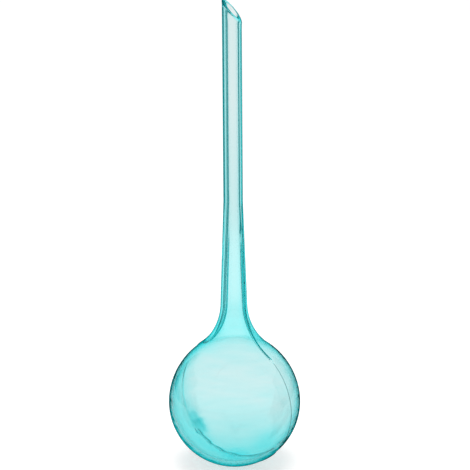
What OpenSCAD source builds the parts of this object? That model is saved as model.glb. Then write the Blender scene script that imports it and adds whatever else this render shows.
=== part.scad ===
// Watering globe: one blow-moulded piece of clear turquoise plastic.
// A hollow ball holds the water, and a long hollow stem with a slanted mouth is pushed into the soil.
// The stem runs up along +Z, with the ball below it. The origin is on the stem's axis at the soil line,
// where the straight stem ends and the taper down to the neck begins. Lengths are in millimetres.

/* [Ball] */
// Outer diameter of the ball
ball_d = 75; // [60:1:100]
// Wall of the ball at its middle
ball_wall = 1.3; // [0.8:0.1:2.5]
// Wall at the foot of the ball, where the pinched tube gathers
foot_wall = 2.3; // [0.8:0.1:4]

/* [Neck] */
// Height of the neck's upper end above the top of the ball's sphere
neck_rise = 21.6; // [14:0.1:40]
// Outer diameter at the neck's upper end
neck_d = 15.2; // [13:0.1:20]
// Wall at the neck's upper end
neck_wall = 2.1; // [1:0.1:3]
// Radius of the shoulder, the slightly flatter upper part of the ball
shoulder_r = 41.5; // [38.5:0.5:60]
// Height of the shoulder's lower end on the ball, as degrees above its middle
shoulder_low = 8; // [0:1:30]

/* [Stem] */
// Length of the tapered stem, from the neck to the soil line
taper_len = 62; // [30:1:100]
// Length of the straight stem, from the soil line to the low side of the mouth
stem_len = 106; // [60:1:160]
// Outer diameter of the straight stem
stem_d = 11; // [10:0.1:12.8]
// Bore of the straight stem
bore_d = 6; // [4.5:0.1:7]

/* [Mouth] */
// Angle of the slanted mouth from square
mouth_slant = 49; // [0:1:55]
// Turn of the mouth's low side from the parting plane
mouth_turn = 21; // [-90:1:90]
// Radius that rounds the outer edge of the lip
lip_r = 0.9; // [0.3:0.1:1.4]
// How far the lip stands out past the stem
lip_swell = 0.12; // [0.05:0.01:0.2]
// Width of the bevel inside the lip
lip_bevel = 0.55; // [0.2:0.05:0.8]

/* [Mould seam] */
// Width of the soft tube, laid flat, that the mould closes on
parison_w = 51; // [36:1:58]
// Width of the thick weld where the mould pinches the tube
weld_w = 1.2; // [0.8:0.1:2]
// Height of the weld on the neck and under the ball
weld_h = 0.4; // [0.2:0.05:0.8]
// Height of the weld on the straight stem, where it is trimmed
trimmed_weld_h = 0.12; // [0.05:0.01:0.2]
// Width of the fine line where the mould only closes
line_w = 0.4; // [0.3:0.05:0.8]
// Height of the fine line
line_h = 0.12; // [0.05:0.01:0.2]
// Radius of the blob that ends the weld under the ball
blob_r = 1.3; // [0.8:0.1:2]

/* [Hidden] */
$fn = 96;
// Overshoot of a cut past the face that it opens
cut_over = 1;
// Overlap of neighbouring parts of the section, and how far touching curves are sunk into each other
overlap = 3;
join_sink = 0.005;
// Facets round the lip and steps over its rounded edge
lip_fn = 48;
lip_step = 30;
// Thickness of the thin discs that the lip is drawn over
disc_t = 0.05;

ball_r = ball_d / 2;
neck_r = neck_d / 2;
stem_r = stem_d / 2;
bore_r = bore_d / 2;
lip_out_r = stem_r + lip_swell;

// The ball's centre, seen from the soil line
ball_z = -(taper_len + neck_rise + ball_r);
// The cavity sits higher than the ball by the extra wall at the foot
cavity_z = ball_z + foot_wall - ball_wall;
// Height at which the slanted mouth crosses the stem's axis
mouth_z = stem_len + stem_r * tan(mouth_slant);
// Height of the mouth's high side
top_z = mouth_z + lip_out_r * tan(mouth_slant);
// How far the lip's own shape reaches down the stem, measured square to the mouth
lip_reach = lip_r + 1.2;

// Slope of the tapered stem, outside and inside, as degrees from the axis
outer_slope = atan2(neck_r - stem_r, taper_len);
bore_slope = atan2(neck_r - neck_wall - bore_r, taper_len);

// Centre of the shoulder's arc, which starts on a ball of radius r_ball whose centre is at height z_ball
function shoulder_centre(r_ball, r_shoulder, z_ball) =
    [0, z_ball] - (r_shoulder - r_ball) * [cos(shoulder_low), sin(shoulder_low)];

// Radius of the neck's arc, which is tangent to the shoulder's arc and to the taper at the neck's upper
// end, where the radius from the axis is r_neck
function neck_arc_r(centre, r_shoulder, r_neck, slope) =
    let (reach = [r_neck, -taper_len] - centre)
    (reach * reach - r_shoulder ^ 2) / (2 * (r_shoulder - reach * [cos(slope), sin(slope)]));

// Half of the section right of the axis, from the foot of the ball to the top of the stem.
// grow moves the whole outline outwards. Neighbouring parts of it run into each other by overlap,
// and cross by join_sink where their curves would only touch.
module flask_profile(r_ball, r_shoulder, z_ball, r_neck, r_stem, slope, top, grow = 0) {
    shoulder_at = shoulder_centre(r_ball, r_shoulder, z_ball);
    arc_r = neck_arc_r(shoulder_at, r_shoulder, r_neck, slope);
    arc_at = [r_neck, -taper_len] + arc_r * [cos(slope), sin(slope)];
    to_arc = arc_at - shoulder_at;
    shoulder_end = shoulder_at + (r_shoulder + grow) * to_arc / norm(to_arc);
    ball_end = z_ball + (r_ball + grow) * sin(shoulder_low);
    neck_end = arc_at - (arc_r - grow) * [cos(slope), sin(slope)];
    taper_end = [r_stem + grow, 0];
    taper_low = neck_end + overlap * (neck_end - taper_end) / norm(neck_end - taper_end);
    intersection() {
        translate([0, z_ball]) circle(r = r_ball + grow);
        translate([0, z_ball - r_ball - grow]) square([r_ball + grow, 2 * (r_ball + grow)]);
    }
    intersection() {
        translate(shoulder_at) circle(r = r_shoulder + grow - join_sink);
        translate([0, ball_end]) square([r_shoulder + grow, shoulder_end.y + overlap - ball_end]);
    }
    difference() {
        translate([0, shoulder_end.y - overlap]) square([shoulder_end.x, neck_end.y + overlap - shoulder_end.y]);
        translate(arc_at) circle(r = arc_r - grow + 2 * join_sink);
    }
    polygon([[0, taper_low.y], taper_low, taper_end, [0, 0]]);
    square([r_stem + grow, top]);
}

// The outer form of ball, neck and stem, with an even skin of the given thickness added
module outer_form(top, skin = 0) {
    rotate_extrude()
        flask_profile(ball_r, shoulder_r, ball_z, neck_r, stem_r, outer_slope, top, skin);
}

// The water space, open at the top
module cavity() {
    rotate_extrude()
        flask_profile(ball_r - ball_wall, shoulder_r - ball_wall, cavity_z, neck_r - neck_wall, bore_r,
            bore_slope, top_z + cut_over);
}

// A slanted layer parallel to the mouth: its underside lies below the mouth's face by depth
module slanted_layer(depth, thick) {
    span = 8 * stem_r;
    translate([0, 0, mouth_z])
        rotate([0, mouth_slant, mouth_turn])
        translate([-span / 2, -span / 2, -depth])
        cube([span, span, thick]);
}

// A slanted disc across the stem, with its underside below the mouth's face by depth
module slanted_disc(r, depth, thick = disc_t) {
    intersection() {
        cylinder(r = r, h = top_z + cut_over, $fn = lip_fn);
        slanted_layer(depth, thick);
    }
}

// The cut end of the stem, a little wider than the stem and rounded over its outer edge
module lip() {
    hull() {
        slanted_disc(stem_r - lip_swell, lip_reach + cut_over);
        slanted_disc(lip_out_r, lip_reach, lip_reach - lip_r);
        for (a = [lip_step : lip_step : 90])
            slanted_disc(lip_out_r - lip_r * (1 - cos(a)), lip_r * (1 - sin(a)) + disc_t);
    }
}

// The bevel inside the lip
module lip_opening() {
    hull() {
        slanted_disc(bore_r - lip_swell, 2 * lip_bevel);
        slanted_disc(bore_r + lip_bevel, 0);
        slanted_disc(bore_r + 2 * lip_bevel, -lip_bevel);
    }
}

// A straight slab in the parting plane, which cuts a ridge from a grown outer form
module parting_slab(w, half_span, z_low, z_high) {
    translate([-half_span, -w / 2, z_low]) cube([2 * half_span, w, z_high - z_low]);
}

// The mould's traces: a fine line round the ball in the parting plane, and a thick weld wherever
// the soft tube is wider than the cavity, so that the mould pinches it
module mould_seam(top) {
    low = ball_z - ball_r - weld_h;
    intersection() {
        outer_form(top, line_h);
        parting_slab(line_w, ball_r + line_h, low, -taper_len);
    }
    intersection() {
        outer_form(top, weld_h);
        parting_slab(weld_w, parison_w / 2, low, 0);
    }
    parting_slab(weld_w, stem_r + trimmed_weld_h, -cut_over, top);
    // The blob at the weld's left end, half sunk in the wall
    blob_x = parison_w / 2;
    translate([-blob_x, 0, ball_z - sqrt((ball_r - blob_r / 2) ^ 2 - blob_x ^ 2)]) sphere(r = blob_r);
}

// The whole globe: outer form, seam and lip, hollowed by the water space
module globe() {
    color([0.16, 0.78, 0.80, 0.55])
    difference() {
        union() {
            // The plain tube stops inside the lip's shape, below its rounded edge
            difference() {
                union() {
                    outer_form(top_z);
                    mould_seam(top_z);
                }
                slanted_layer(lip_reach, 3 * stem_r);
            }
            lip();
        }
        cavity();
        lip_opening();
    }
}

globe();
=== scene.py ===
import math

import bpy
import numpy as np
from mathutils import Matrix, Vector


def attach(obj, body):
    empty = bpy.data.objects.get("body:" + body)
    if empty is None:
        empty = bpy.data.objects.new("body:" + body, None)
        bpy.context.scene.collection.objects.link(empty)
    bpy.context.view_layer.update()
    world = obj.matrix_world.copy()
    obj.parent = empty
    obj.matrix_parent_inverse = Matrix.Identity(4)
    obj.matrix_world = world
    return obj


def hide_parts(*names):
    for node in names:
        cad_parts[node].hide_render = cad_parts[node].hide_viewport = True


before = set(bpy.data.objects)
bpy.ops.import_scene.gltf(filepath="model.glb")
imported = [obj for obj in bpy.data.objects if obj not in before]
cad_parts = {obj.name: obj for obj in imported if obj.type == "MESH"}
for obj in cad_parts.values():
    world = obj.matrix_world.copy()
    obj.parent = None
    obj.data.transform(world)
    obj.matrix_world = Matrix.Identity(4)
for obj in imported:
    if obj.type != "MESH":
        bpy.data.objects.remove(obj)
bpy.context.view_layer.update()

# Globe
# One hollow piece of clear turquoise plastic, blown in a mould that closes on a soft tube: a thin ball
# for the water, and a long thick-walled stem. Its outline and its inside are one closed skin, swept
# round the axis, with the slanted mouth, the mould's welds and the uneven wall shaped on the way.
MM = 0.001
ball_radius = 37.5 * MM
ball_wall = 1.3 * MM
foot_wall = 2.3 * MM
shoulder_radius = 41.5 * MM
shoulder_low = math.radians(8)
neck_rise = 21.6 * MM
neck_radius = 7.6 * MM
neck_wall = 2.1 * MM
taper_length = 62 * MM
stem_length = 106 * MM
stem_radius = 5.5 * MM
bore_radius = 3.0 * MM
mouth_slant = math.radians(49)
mouth_turn = math.radians(21)
lip_rounding = 0.9 * MM
lip_swell = 0.12 * MM
lip_bevel = 0.55 * MM
lip_rest = 1.2 * MM
ball_height = -(taper_length + neck_rise + ball_radius)
cavity_height = ball_height + foot_wall - ball_wall
mouth_height = stem_length + stem_radius * math.tan(mouth_slant)
lip_depth = (lip_rounding + lip_rest) / math.cos(mouth_slant)


def wall_line(ball_r, shoulder_r, ball_z, neck_r, stem_r, top):
    """One wall in half section, from the ball's foot to the top of the stem: (radius, height, slope)."""
    ball_steps = 76
    arc_steps = 28
    taper_steps = 20
    stem_steps = 26
    slope = math.atan2(neck_r - stem_r, taper_length)
    low_side = Vector((math.cos(shoulder_low), math.sin(shoulder_low)))
    centre = Vector((0, ball_z)) - (shoulder_r - ball_r) * low_side
    side = Vector((math.cos(slope), math.sin(slope)))
    reach = Vector((neck_r, -taper_length)) - centre
    arc_r = (reach.dot(reach) - shoulder_r ** 2) / (2 * (shoulder_r - reach.dot(side)))
    arc = Vector((neck_r, -taper_length)) + arc_r * side
    shoulder_high = math.atan2(arc.y - centre.y, arc.x - centre.x)
    line = [(0.0, ball_z - ball_r, -math.pi / 2)]
    for i in range(1, ball_steps + 1):
        angle = -math.pi / 2 + (shoulder_low + math.pi / 2) * (i / ball_steps) ** 1.1
        line.append((ball_r * math.cos(angle), ball_z + ball_r * math.sin(angle), angle))
    for i in range(1, arc_steps + 1):
        angle = shoulder_low + (shoulder_high - shoulder_low) * i / arc_steps
        line.append((centre.x + shoulder_r * math.cos(angle), centre.y + shoulder_r * math.sin(angle), angle))
    for i in range(1, arc_steps + 1):
        angle = shoulder_high + (slope - shoulder_high) * i / arc_steps
        line.append((arc.x - arc_r * math.cos(angle), arc.y - arc_r * math.sin(angle), angle))
    for i in range(1, taper_steps):
        share = i / taper_steps
        line.append((neck_r + (stem_r - neck_r) * share, -taper_length * (1 - share), slope))
    for i in range(stem_steps + 1):
        line.append((stem_r, top * i / stem_steps, 0.0))
    return line


def smooth(low, high, value):
    """0 below low and 1 above high, with a soft step between."""
    t = min(max((value - low) / (high - low), 0.0), 1.0)
    return t * t * (3 - 2 * t)


# Depth of colour by height in millimetres: little in the ball and the stem, most in the neck
wall_tints = ((-100, 0.030), (-88, 0.043), (-80, 0.092), (-64, 0.084),
              (-57, 0.056), (-23, 0.042), (0, 0.022), (60, 0.0))
tint_heights, tint_depths = zip(*wall_tints)
foot_spot = 1.3
foot_spot_width = 7 * MM
foot_pool = 0.19
foot_pool_width = 32 * MM


def tint(z):
    """How deep the colour is at a height, with a deep spot and a wide soft one round the ball's foot."""
    away = math.sqrt(max(z - (ball_height - ball_radius), 0) * 2 * ball_radius)
    body = float(np.interp(z / MM, tint_heights, tint_depths))
    spot = foot_spot * math.exp(-(away / foot_spot_width) ** 2)
    pool = foot_pool * math.exp(-(away / foot_pool_width) ** 2)
    return body + spot + pool


# The stem leans over into the mouth's slant along its last stretch
lean_length = 26 * MM
lean_start = mouth_height - lean_length
lean_end = mouth_height - lip_depth
rows = []


def add_row(r, z, side, ridge_half, left_ridge=0.0, right_ridge=0.0,
            inner=0.0, free=0.0, lip=0.0, more_tint=0.0):
    """Adds one row of the skin: its place, its outward side, and how the mould and the blowing mark it.

    The ridges are heights at the parting plane, left and right of the axis, and ridge_half is half their
    width. inner is 1 on the inside, and free says how freely the wall could wander. lip is above 0 in the
    crease inside the lip, and below 0 on its rounded outer edge. The edge-on mark says how much deeper the
    outside is made where it is seen edge on, partly for the longer path through the plastic and partly as
    painted shade for the dark rims: a lot from the shoulder up, and a little at the foot.
    """
    # Edge-on depth: partly the longer path through the plastic, partly painted shade for the dark rims
    edge_on_shade_depth = 1.02 * smooth(-95 * MM, -72 * MM, z) + 0.3 * (1 - smooth(-150 * MM, -115 * MM, z))
    rows.append({
        "place": (r, 0.0, z),
        "side": (side[0], 0.0, side[1]),
        "ridge_half": ridge_half,
        "left_ridge": left_ridge,
        "right_ridge": right_ridge,
        "inner": inner,
        "free": free,
        "lip": lip,
        "tint": tint(z) + more_tint,
        "in_ball": 1 - smooth(-82 * MM, -62 * MM, z),
        "thick": (1 - inner) * edge_on_shade_depth,
        "slanted": min(max((z - lean_start) / (lean_end - lean_start), 0.0), 1.0)})


# The outside has a fine line where the mould only closed, and a thick weld where it pinched the soft
# tube: near the axis, and all along the neck. On the straight stem the weld is trimmed.
low_weld_reach = 27 * MM
high_weld_reach = 24 * MM
weld_half = 0.6 * MM
weld_height = 0.4 * MM
trimmed_weld_height = 0.12 * MM
line_half = 0.25 * MM
line_height = 0.12 * MM
for r, z, slope in wall_line(ball_radius, shoulder_radius, ball_height, neck_radius, stem_radius, lean_end):
    reach = low_weld_reach if z < ball_height else high_weld_reach
    weld = 1 - smooth(reach - 0.4 * MM, reach + 0.4 * MM, r)
    trim = smooth(-3 * MM, 3 * MM, z)
    height = line_height + weld * (weld_height + (trimmed_weld_height - weld_height) * trim - line_height)
    half = line_half + weld * (weld_half - line_half)
    add_row(r, z, (math.cos(slope), math.sin(slope)), half, height, height)

# The lip swells a little, is rounded outside and has a bevel inside
lip_tint = 0.15
lip_face_tint = 0.05
rounding_steps = 9
for i in range(rounding_steps + 1):
    angle = math.pi / 2 * i / rounding_steps
    add_row(stem_radius + lip_swell - lip_rounding * (1 - math.cos(angle)),
            mouth_height - lip_rounding * (1 - math.sin(angle)) / math.cos(mouth_slant),
            (math.cos(angle), math.sin(angle)), weld_half,
            lip=-math.sin(2 * angle), more_tint=lip_tint * math.sin(2 * angle))
hole_radius = bore_radius + lip_bevel
add_row(hole_radius + 0.3 * MM, mouth_height, (0.0, 1.0), weld_half, inner=1.0, more_tint=lip_face_tint)
# Painted shade inside the lip, darkest at the top of the bevel
bevel_painted_shade = (1.0, 0.8, 0.2, 0.0, 0.0, 0.0)
for i, lip_painted_shade in enumerate(bevel_painted_shade):
    angle = math.pi / 2 * i / (len(bevel_painted_shade) - 1)
    add_row(hole_radius - lip_bevel * math.sin(angle), mouth_height - 2 * lip_bevel * (1 - math.cos(angle)),
            (-math.sin(angle), math.cos(angle)), weld_half, inner=1.0, lip=lip_painted_shade)

# On the inside the closing mould leaves a bead behind the weld, and a low one behind the left line
bead_half = 1.0 * MM
bead_height = 0.7 * MM
line_bead_height = 0.161 * MM
inside = wall_line(ball_radius - ball_wall, shoulder_radius - ball_wall, cavity_height,
                   neck_radius - neck_wall, bore_radius, lean_end)
for r, z, slope in reversed(inside):
    reach = low_weld_reach if z < ball_height else high_weld_reach
    weld = 1 - smooth(reach - 2 * MM, reach, r)
    bead = bead_height * weld * (1 - smooth(-40 * MM, -10 * MM, z))
    left_bead = max(bead, line_bead_height * (1 - smooth(-110 * MM, -98 * MM, z)))
    add_row(r, z, (-math.cos(slope), -math.sin(slope)), bead_half, left_bead, bead,
            inner=1.0, free=1 - smooth(-90 * MM, -60 * MM, z))

section = bpy.data.meshes.new("globe_section")
section.from_pydata([row["place"] for row in rows], [(i, i + 1) for i in range(len(rows) - 1)], [])
sides = section.attributes.new("side", "FLOAT_VECTOR", "POINT")
sides.data.foreach_set("vector", [part for row in rows for part in row["side"]])
for name in rows[0]:
    if name not in ("place", "side"):
        marks = section.attributes.new(name, "FLOAT", "POINT")
        marks.data.foreach_set("value", [row[name] for row in rows])

blob_height = ball_height - math.sqrt(ball_radius ** 2 - low_weld_reach ** 2)
settings = {
    "Rows": ("NodeSocketInt", len(rows)),
    "Columns": ("NodeSocketInt", 240),
    "Crowding": ("NodeSocketFloat", 0.93),
    "Slant": ("NodeSocketFloat", mouth_slant),
    "Turn": ("NodeSocketFloat", mouth_turn),
    "Blob place": ("NodeSocketVector", (-low_weld_reach, 0, blob_height)),
    "Blob size": ("NodeSocketFloat", 1.2 * MM),
    "Weld end": ("NodeSocketVector", (high_weld_reach, 0, -91.3 * MM)),
    "Cavity shift": ("NodeSocketVector", (0.25 * MM, 0.15 * MM, 0)),
    "Gather place": ("NodeSocketVector", (-29.2 * MM, 3.5 * MM, ball_height - 23.2 * MM)),
    "Gather height": ("NodeSocketFloat", 1.2 * MM),
    "Gather width": ("NodeSocketFloat", 3.2 * MM),
    "Ripple height": ("NodeSocketFloat", 0.07 * MM),
    # Painted shade down the ball's sides: where the left bank turns, and how deep the left and right banks go
    "Left shade turn": ("NodeSocketFloat", math.radians(198)),
    "Left painted shade": ("NodeSocketFloat", 0.26),
    "Right painted shade": ("NodeSocketFloat", 0.015),
    # A deeper colour low on the right of the ball
    "Low right place": ("NodeSocketVector", (13 * MM, 15.5 * MM, ball_height - 31.5 * MM)),
    "Low right width": ("NodeSocketFloat", 9 * MM),
    "Low right depth": ("NodeSocketFloat", 0.22)}
tree = bpy.data.node_groups.new("Blown globe", "GeometryNodeTree")
tree.interface.new_socket(name="Section", in_out="INPUT", socket_type="NodeSocketGeometry")
inputs = {}
for name, (kind, value) in settings.items():
    inputs[name] = tree.interface.new_socket(name=name, in_out="INPUT", socket_type=kind)
inputs["Plastic"] = tree.interface.new_socket(name="Plastic", in_out="INPUT",
                                              socket_type="NodeSocketMaterial")
tree.interface.new_socket(name="Globe", in_out="OUTPUT", socket_type="NodeSocketGeometry")
given = tree.nodes.new("NodeGroupInput").outputs


def plug(target, value):
    """Joins a socket to an input, or sets the input to a plain value."""
    if isinstance(value, bpy.types.NodeSocket):
        tree.links.new(value, target)
    else:
        target.default_value = value


def maths(operation, *values):
    """A sum on numbers, in the tree that is being built."""
    node = tree.nodes.new("ShaderNodeMath")
    node.operation = operation
    for target, value in zip(node.inputs, values):
        plug(target, value)
    return node.outputs[0]


def vectors(operation, *values, scale=None):
    """A sum on vectors."""
    node = tree.nodes.new("ShaderNodeVectorMath")
    node.operation = operation
    for target, value in zip(node.inputs, values):
        plug(target, value)
    if scale is not None:
        plug(node.inputs["Scale"], scale)
    return node.outputs["Value" if operation == "LENGTH" else "Vector"]


def joined(x, y, z):
    """Three numbers as one vector."""
    node = tree.nodes.new("ShaderNodeCombineXYZ")
    for target, value in zip(node.inputs, (x, y, z)):
        plug(target, value)
    return node.outputs[0]


def parts(vector):
    """The three numbers of a vector."""
    node = tree.nodes.new("ShaderNodeSeparateXYZ")
    plug(node.inputs[0], vector)
    return node.outputs


# A grid, one row of vertices for each point of the section
grid = tree.nodes.new("GeometryNodeMeshGrid")
plug(grid.inputs["Vertices X"], given["Rows"])
wide = maths("ADD", given["Columns"], 1.0)
plug(grid.inputs["Vertices Y"], wide)
index = tree.nodes.new("GeometryNodeInputIndex").outputs[0]
row = maths("FLOOR", maths("DIVIDE", maths("ADD", index, 0.5), wide))
column = maths("SUBTRACT", index, maths("MULTIPLY", row, wide))


def sampled(value, kind):
    """A value of the section's point that this row comes from."""
    node = tree.nodes.new("GeometryNodeSampleIndex")
    node.data_type = kind
    plug(node.inputs["Geometry"], given["Section"])
    plug(node.inputs["Value"], value)
    plug(node.inputs["Index"], row)
    return node.outputs[0]


def marked(name, kind="FLOAT"):
    """One of the marks that add_row gave the row."""
    node = tree.nodes.new("GeometryNodeInputNamedAttribute")
    node.data_type = kind
    node.inputs["Name"].default_value = name
    return sampled(node.outputs["Attribute"], kind)


# Each row is turned round the axis, with the columns crowded towards the parting plane
turns = maths("DIVIDE", column, maths("DIVIDE", given["Columns"], 2.0))
wave = maths("MULTIPLY", maths("DIVIDE", given["Crowding"], 2 * math.pi),
             maths("SINE", maths("MULTIPLY", turns, 2 * math.pi)))
angle = maths("MULTIPLY", maths("SUBTRACT", turns, wave), math.pi)
cosine = maths("COSINE", angle)
sine = maths("SINE", angle)
place = parts(sampled(tree.nodes.new("GeometryNodeInputPosition").outputs[0], "FLOAT_VECTOR"))
side = parts(marked("side", "FLOAT_VECTOR"))
across = maths("MULTIPLY", place[0], sine)
base = joined(maths("MULTIPLY", place[0], cosine), across, place[2])
normal = joined(maths("MULTIPLY", side[0], cosine), maths("MULTIPLY", side[0], sine), side[2])

# The ridge that the mould leaves, a smooth hump across the parting plane
reach = maths("MINIMUM", maths("DIVIDE", maths("ABSOLUTE", across), marked("ridge_half")), 1.0)
hump = maths("POWER", maths("SUBTRACT", 1.0, maths("MULTIPLY", reach, reach)), 2.0)
on_left = maths("LESS_THAN", cosine, 0.0)
on_right = maths("SUBTRACT", 1.0, on_left)
ridge_height = maths("ADD", maths("MULTIPLY", on_left, marked("left_ridge")),
                     maths("MULTIPLY", on_right, marked("right_ridge")))
ridge = maths("MULTIPLY", hump, ridge_height)


def mound(centre, size, height, stretch=(1, 1, 1)):
    """A smooth mound round a point of the wall, longer along an axis whose stretch is below 1."""
    away = vectors("LENGTH", vectors("MULTIPLY", vectors("SUBTRACT", base, centre), stretch))
    near = maths("DIVIDE", away, size)
    fall = maths("EXPONENT", maths("MULTIPLY", maths("MULTIPLY", near, near), -1.0))
    return maths("MULTIPLY", height, fall)


# Blobs end the weld outside. Inside, plastic has gathered beside the left line, the ball's wall has
# fine ripples, and the whole inside sits a little off the axis, less so in the stem.
inner = marked("inner")
outer = maths("SUBTRACT", 1.0, inner)
low_blob = mound(given["Blob place"], given["Blob size"], given["Blob size"])
high_blob = mound(given["Weld end"], maths("MULTIPLY", given["Blob size"], 0.8),
                  maths("MULTIPLY", given["Blob size"], 0.5))
blobs = maths("MULTIPLY", outer, maths("ADD", low_blob, high_blob))
free = marked("free")
smear_stretch = (0.6, 1, 0.5)
gather = maths("MULTIPLY", free, mound(given["Gather place"], given["Gather width"], given["Gather height"],
                                       smear_stretch))
ripple_counts = (45, 45, 420)
ripple_noise = tree.nodes.new("ShaderNodeTexNoise")
ripple_noise.inputs["Scale"].default_value = 1.0
ripple_noise.inputs["Detail"].default_value = 1.5
plug(ripple_noise.inputs["Vector"], vectors("MULTIPLY", base, ripple_counts))
ripple = ripple_noise.outputs[0]
even_ripple = maths("SUBTRACT", ripple, 0.5)
waves = maths("MULTIPLY", maths("MULTIPLY", free, given["Ripple height"]), even_ripple)
proud = maths("ADD", maths("ADD", ridge, blobs), maths("ADD", gather, waves))
shaped = vectors("ADD", base, vectors("SCALE", normal, scale=proud))
stem_shift_share = 0.667
shift = maths("MULTIPLY", maths("ADD", inner, maths("MULTIPLY", free, 0.5)), stem_shift_share)
shifted = vectors("ADD", shaped, vectors("SCALE", given["Cavity shift"], scale=shift))

# The stem's end leans over into the slanted mouth
end = parts(shifted)
lean = maths("ADD", maths("MULTIPLY", end[0], maths("COSINE", given["Turn"])),
             maths("MULTIPLY", end[1], maths("SINE", given["Turn"])))
drop = maths("MULTIPLY", marked("slanted"), maths("MULTIPLY", lean, maths("TANGENT", given["Slant"])))
formed = tree.nodes.new("GeometryNodeSetPosition")
plug(formed.inputs["Position"], joined(end[0], end[1], maths("SUBTRACT", end[2], drop)))

# Where plastic gathers, its colour is deeper: in the smear beside the left line, in the ripples and along
# the ridges. Painted shade deepens it in banks down the ball's sides, mostly the left, and it is deeper low
# on the right.
# Painted shade for the ball's dark sides: banks at fixed turns round the axis, mostly on the left
toward_left_shade = maths("ADD", maths("MULTIPLY", cosine, maths("COSINE", given["Left shade turn"])),
                    maths("MULTIPLY", sine, maths("SINE", given["Left shade turn"])))
shade_bank_narrowness = 14.0
left_painted_shade = maths("POWER", maths("MAXIMUM", toward_left_shade, 0.0), shade_bank_narrowness)
right_painted_shade = maths("POWER", maths("MAXIMUM", cosine, 0.0), shade_bank_narrowness)
painted_shade_banks = maths("ADD", maths("MULTIPLY", given["Left painted shade"], left_painted_shade),
              maths("MULTIPLY", given["Right painted shade"], right_painted_shade))
streaks = maths("MULTIPLY", maths("MAXIMUM", maths("SUBTRACT", ripple, 0.3), 0.0), 3.0)
smear = maths("MULTIPLY", streaks, mound(given["Gather place"], maths("MULTIPLY", given["Gather width"], 1.2),
                                         1.0, smear_stretch))
low_right = mound(given["Low right place"], given["Low right width"], given["Low right depth"])
patches_and_painted_shade = maths("ADD", maths("ADD", painted_shade_banks, smear), low_right)
ripple_tint = 0.06
ridge_tint = 0.5
patches_and_painted_shade = maths("ADD", patches_and_painted_shade, maths("MULTIPLY", even_ripple, ripple_tint))
gathered_and_painted_shade = maths("ADD", marked("tint"), maths("MULTIPLY", marked("in_ball"), patches_and_painted_shade))
gathered_and_painted_shade = maths("ADD", gathered_and_painted_shade, maths("MULTIPLY", maths("DIVIDE", ridge, weld_height), ridge_tint))

# Painted shade draws dark lines: along the two sides of a weld, inside the lip, and on two opposite sides
# of the lip's rounded edge, at a fixed turn round the axis. The thickest of the smear is darkened too.
weld_share = maths("MINIMUM", maths("DIVIDE", ridge_height, weld_height), 1.0)
flank = maths("MULTIPLY", maths("MULTIPLY", hump, maths("SUBTRACT", 1.0, hump)),
              maths("MULTIPLY", weld_share, weld_share))
lip = marked("lip")
lip_shade_turn = math.radians(256)
lip_side = maths("ADD", maths("MULTIPLY", cosine, math.cos(lip_shade_turn)),
                 maths("MULTIPLY", sine, math.sin(lip_shade_turn)))
rounded_edge = maths("MAXIMUM", maths("MULTIPLY", lip, -1.0), 0.0)
outer_lip_shade = maths("MULTIPLY", rounded_edge, maths("MULTIPLY", lip_side, lip_side))
flank_painted_shade = 7.0
smear_darkness = 0.55
painted_shade_lines = maths("ADD", maths("MULTIPLY", flank, flank_painted_shade),
               maths("ADD", maths("MAXIMUM", lip, 0.0), outer_lip_shade))
painted_shade_lines = maths("ADD", painted_shade_lines, maths("MULTIPLY", smear, smear_darkness))

# The rows take their marks along, are set in place, closed at the seam and the foot, and faced outwards
skin_so_far = grid.outputs["Mesh"]
for name, value in (("gathered_and_painted_shade", gathered_and_painted_shade), ("thick", marked("thick")), ("painted_shade_lines", painted_shade_lines)):
    stored = tree.nodes.new("GeometryNodeStoreNamedAttribute")
    stored.inputs["Name"].default_value = name
    plug(stored.inputs["Geometry"], skin_so_far)
    plug(stored.inputs["Value"], value)
    skin_so_far = stored.outputs[0]
plug(formed.inputs["Geometry"], skin_so_far)
closed = tree.nodes.new("GeometryNodeMergeByDistance")
plug(closed.inputs["Geometry"], formed.outputs[0])
closed.inputs["Distance"].default_value = 0.0001 * MM
flipped = tree.nodes.new("GeometryNodeFlipFaces")
plug(flipped.inputs["Mesh"], closed.outputs[0])
shaded = tree.nodes.new("GeometryNodeSetShadeSmooth")
plug(shaded.inputs["Geometry"], flipped.outputs[0])
real = tree.nodes.new("GeometryNodeRealizeInstances")
plug(real.inputs["Geometry"], shaded.outputs[0])
coated = tree.nodes.new("GeometryNodeSetMaterial")
plug(coated.inputs["Geometry"], real.outputs[0])
plug(coated.inputs["Material"], given["Plastic"])
result = tree.nodes.new("NodeGroupOutput")
plug(result.inputs[0], coated.outputs[0])

# Clear turquoise plastic: glass-like, with the colour in the depth of the wall. Light that goes through
# the wall keeps the share of red, green and blue below, to the power of how much plastic is gathered there,
# with painted shade added in dark banks down the ball's sides. It is deeper where the wall is seen edge on,
# partly from the longer path and partly as painted shade, and painted shade turns it dark teal at the rim
# and along the dark lines.
plastic = bpy.data.materials.new("clear_turquoise_plastic")
plastic.use_nodes = True
tree = plastic.node_tree
shell = tree.nodes["Principled BSDF"]
shell.inputs["Transmission Weight"].default_value = 1.0
shell.inputs["IOR"].default_value = 1.53
shell.inputs["Roughness"].default_value = 0.02


def carried(name):
    """A mark that the skin's mesh carries."""
    node = tree.nodes.new("ShaderNodeAttribute")
    node.attribute_name = name
    return node.outputs["Fac"]


def mixed(kind, share, low, high):
    """low where share is 0, and high where it is 1."""
    node = tree.nodes.new("ShaderNodeMix")
    node.data_type = kind
    plug(node.inputs["Factor"], share)
    plug(node.inputs["A"], low)
    plug(node.inputs["B"], high)
    return node.outputs["Result"]


facing = tree.nodes.new("ShaderNodeLayerWeight")
facing.inputs["Blend"].default_value = 0.5
edge_on = facing.outputs["Facing"]
wide_rim = 1.5
narrow_rim = 8.0
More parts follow.
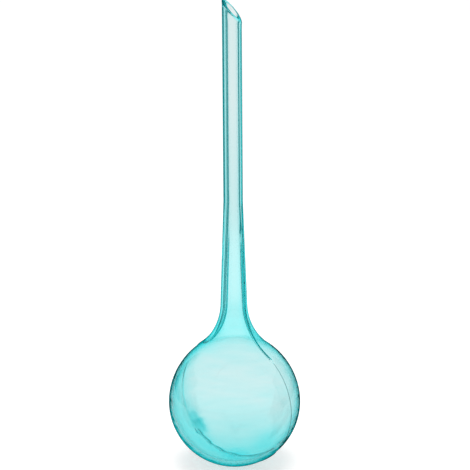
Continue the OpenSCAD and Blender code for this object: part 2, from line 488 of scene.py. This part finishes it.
# Painted shade: the rim turns dark teal where the wall is seen edge on
painted_rim_shade = maths("POWER", edge_on, narrow_rim)
rim_painted_shade_depth = 3.3
amount = maths("MULTIPLY_ADD", maths("POWER", edge_on, wide_rim), carried("thick"), carried("gathered_and_painted_shade"))
amount = maths("MULTIPLY_ADD", painted_rim_shade, rim_painted_shade_depth, amount)
wall_colour = tree.nodes.new("ShaderNodeCombineColor")
for channel, passed in (("Red", 0.02), ("Green", 0.84), ("Blue", 0.90)):
    plug(wall_colour.inputs[channel], maths("POWER", passed, amount))
# Dark teal painted shade, at the rim and along the painted dark lines
painted_shade_teal = (0.0, 0.2, 0.21, 1)
painted_shade_share = maths("MAXIMUM", painted_rim_shade, carried("painted_shade_lines"))
plug(shell.inputs["Base Color"], mixed("RGBA", painted_shade_share, wall_colour.outputs[0], painted_shade_teal))
depth = tree.nodes.new("ShaderNodeVolumeAbsorption")
depth.inputs["Color"].default_value = (0.04, 0.97, 0.985, 1)
depth.inputs["Density"].default_value = 32
tree.links.new(depth.outputs[0], tree.nodes["Material Output"].inputs["Volume"])

globe = bpy.data.objects.new("globe_skin", section)
bpy.context.scene.collection.objects.link(globe)
sweep = globe.modifiers.new("Blown globe", "NODES")
sweep.node_group = bpy.data.node_groups["Blown globe"]
for name, (kind, value) in settings.items():
    sweep[inputs[name].identifier] = value
sweep[inputs["Plastic"].identifier] = plastic
skin = bpy.data.meshes.new_from_object(globe.evaluated_get(bpy.context.evaluated_depsgraph_get()))
globe.modifiers.remove(sweep)
globe.data = skin
skin.name = "globe_skin"
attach(globe, "root")
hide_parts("globe")

# Studio
# A plain white floor under the ball, which keeps the soft shadow, one large soft lamp above, and a white
# surround. The camera has a long lens and looks down a little from the front right.
floor_height = ball_height - ball_radius - weld_height
floor_half = 6.0
floor_mesh = bpy.data.meshes.new("floor")
floor_mesh.from_pydata([(-floor_half, -floor_half, 0), (floor_half, -floor_half, 0),
                        (floor_half, floor_half, 0), (-floor_half, floor_half, 0)], [], [(0, 1, 2, 3)])
floor = bpy.data.objects.new("floor", floor_mesh)
floor.location.z = floor_height
bpy.context.scene.collection.objects.link(floor)

# The paper glows a little for the camera, so that it comes out white, and glows bright to light that comes
# through the plastic, most of all in a painted ring of light that shows through the neck. In the gloss it is
# dark teal, a painted reflection that tints the plastic's rims.
paper = bpy.data.materials.new("white_paper")
paper.use_nodes = True
tree = paper.node_tree
sheet = tree.nodes["Principled BSDF"]
sheet.inputs["Roughness"].default_value = 0.9
sheet.inputs["Specular IOR Level"].default_value = 0.0
sheet.inputs["Emission Color"].default_value = (1, 1, 1, 1)
paper_rays = tree.nodes.new("ShaderNodeLightPath").outputs
through = paper_rays["Is Transmission Ray"]
paper_white = (0.66, 0.61, 0.61, 1)
gloss_teal = (0.0, 0.16, 0.17, 1)
through_grey = (0.06, 0.06, 0.06, 1)
dim = mixed("RGBA", through, gloss_teal, through_grey)
by_the_plastic = maths("MAXIMUM", paper_rays["Is Glossy Ray"], through)
plug(sheet.inputs["Base Color"], mixed("RGBA", by_the_plastic, paper_white, dim))
paper_place = tree.nodes.new("ShaderNodeTexCoord")
# Painted light: a brighter ring on the paper, seen only through the plastic
paper_glint = tree.nodes.new("ShaderNodeFloatCurve")
paper_points = paper_glint.mapping.curves[0].points
paper_points[0].location = (0.0, 0.82)
paper_points[1].location = (1.0, 0.83)
for away, bright in ((0.2, 0.83), (0.3, 0.96), (0.36, 0.94), (0.46, 0.83)):
    paper_points.new(away, bright)
for point in paper_points:
    point.handle_type = "AUTO_CLAMPED"
paper_glint.mapping.update()
plug(paper_glint.inputs["Value"], vectors("LENGTH", paper_place.outputs["Object"]))
camera_glow = maths("MULTIPLY", paper_rays["Is Camera Ray"], 0.58)
plug(sheet.inputs["Emission Strength"],
     maths("MULTIPLY_ADD", through, paper_glint.outputs["Value"], camera_glow))
floor_mesh.materials.append(paper)

lamp_data = bpy.data.lights.new("softbox", "AREA")
lamp_data.shape = "SQUARE"
lamp_data.size = 0.6
lamp_data.energy = 5.5
lamp = bpy.data.objects.new("softbox", lamp_data)
lamp.location = (0.05, -0.1, 0.75)
lamp.rotation_euler = (math.radians(-7), 0, 0)
lamp.visible_glossy = False
lamp.visible_transmission = False
bpy.context.scene.collection.objects.link(lamp)

# Dark and grey flags stand round the set and lean outwards. Only light that has passed through the
# plastic meets them, and they draw the dark bands along the stem. Each spans some degrees round the axis.
dark_spans = ((70, 85), (95, 129), (293, 310), (320, 347))
grey_spans = ((85, 95), (310, 320))
low_flag_radius = 215 * MM
high_flag_radius = 430 * MM
flag_rise = 240 * MM
flag_corners = []
flag_faces = []
for start, stop in dark_spans + grey_spans:
    first = len(flag_corners)
    for turn in (start, (start + stop) / 2, stop):
        angle = math.radians(turn)
        for radius, rise in ((low_flag_radius, 0.0), (high_flag_radius, flag_rise)):
            flag_corners.append((-math.sin(angle) * radius, math.cos(angle) * radius, floor_height + rise))
    flag_faces.append((first, first + 2, first + 3, first + 1))
    flag_faces.append((first + 2, first + 4, first + 5, first + 3))
flag_mesh = bpy.data.meshes.new("flags")
flag_mesh.from_pydata(flag_corners, [], flag_faces)
flags = bpy.data.objects.new("flags", flag_mesh)
bpy.context.scene.collection.objects.link(flags)
for name, colour in (("dark_flag", (0.01, 0.2, 0.21, 1)), ("grey_flag", (0.3, 0.55, 0.56, 1))):
    flag_cloth = bpy.data.materials.new(name)
    flag_cloth.use_nodes = True
    cloth = flag_cloth.node_tree.nodes["Principled BSDF"]
    cloth.inputs["Base Color"].default_value = colour
    cloth.inputs["Roughness"].default_value = 1.0
    cloth.inputs["Specular IOR Level"].default_value = 0.0
    flag_mesh.materials.append(flag_cloth)
for face in flag_mesh.polygons:
    face.material_index = 0 if face.index < 2 * len(dark_spans) else 1
flags.visible_camera = False
flags.visible_diffuse = False
flags.visible_glossy = False
flags.visible_shadow = False

# The surround is white to the camera and through the plastic, softer as light on the floor, and
# turquoise where the plastic mirrors it
world = bpy.data.worlds.new("surround")
bpy.context.scene.world = world
world.use_nodes = True
tree = world.node_tree
sky = tree.nodes["Background"]
rays = tree.nodes.new("ShaderNodeLightPath").outputs
seen = maths("MAXIMUM", rays["Is Camera Ray"], rays["Is Transmission Ray"])
only_mirrored = maths("MAXIMUM", maths("SUBTRACT", rays["Is Glossy Ray"], rays["Is Transmission Ray"]), 0.0)
floor_light = 0.6
seen_light = 1.0
mirrored_light = 0.7
level = mixed("FLOAT", only_mirrored, mixed("FLOAT", seen, floor_light, seen_light), mirrored_light)
plug(sky.inputs["Strength"], level)
surround_white = (1, 1, 1, 1)
mirrored_turquoise = (0.08, 0.9, 0.92, 1)
plug(sky.inputs["Color"], mixed("RGBA", only_mirrored, surround_white, mirrored_turquoise))

view_azimuth = math.radians(31)
view_elevation = math.radians(19.9)
view_roll = math.radians(0.40)
distance = 2.5
aim_aside = 0.92 * MM
aim = Vector((aim_aside * math.cos(view_azimuth), aim_aside * math.sin(view_azimuth), -20.3 * MM))
back = Vector((math.sin(view_azimuth) * math.cos(view_elevation),
               -math.cos(view_azimuth) * math.cos(view_elevation), math.sin(view_elevation)))
camera_data = bpy.data.cameras.new("camera")
camera_data.sensor_width = 36
camera_data.lens = 340
camera_data.clip_start = 0.1
camera_data.clip_end = 50
camera = bpy.data.objects.new("camera", camera_data)
camera.rotation_mode = "QUATERNION"
camera.location = aim + back * distance
roll = Matrix.Rotation(-view_roll, 3, "Z").to_quaternion()
camera.rotation_quaternion = (-back).to_track_quat("-Z", "Y") @ roll
bpy.context.scene.collection.objects.link(camera)
bpy.context.scene.camera = camera
bpy.context.scene.view_settings.view_transform = "Standard"

# Light that is turned back many times inside the wall is followed to its end, or the rims go black
turns_followed = 40
bpy.context.scene.cycles.max_bounces = turns_followed
bpy.context.scene.cycles.glossy_bounces = turns_followed
bpy.context.scene.cycles.transmission_bounces = turns_followed

bpy.context.view_layer.update()
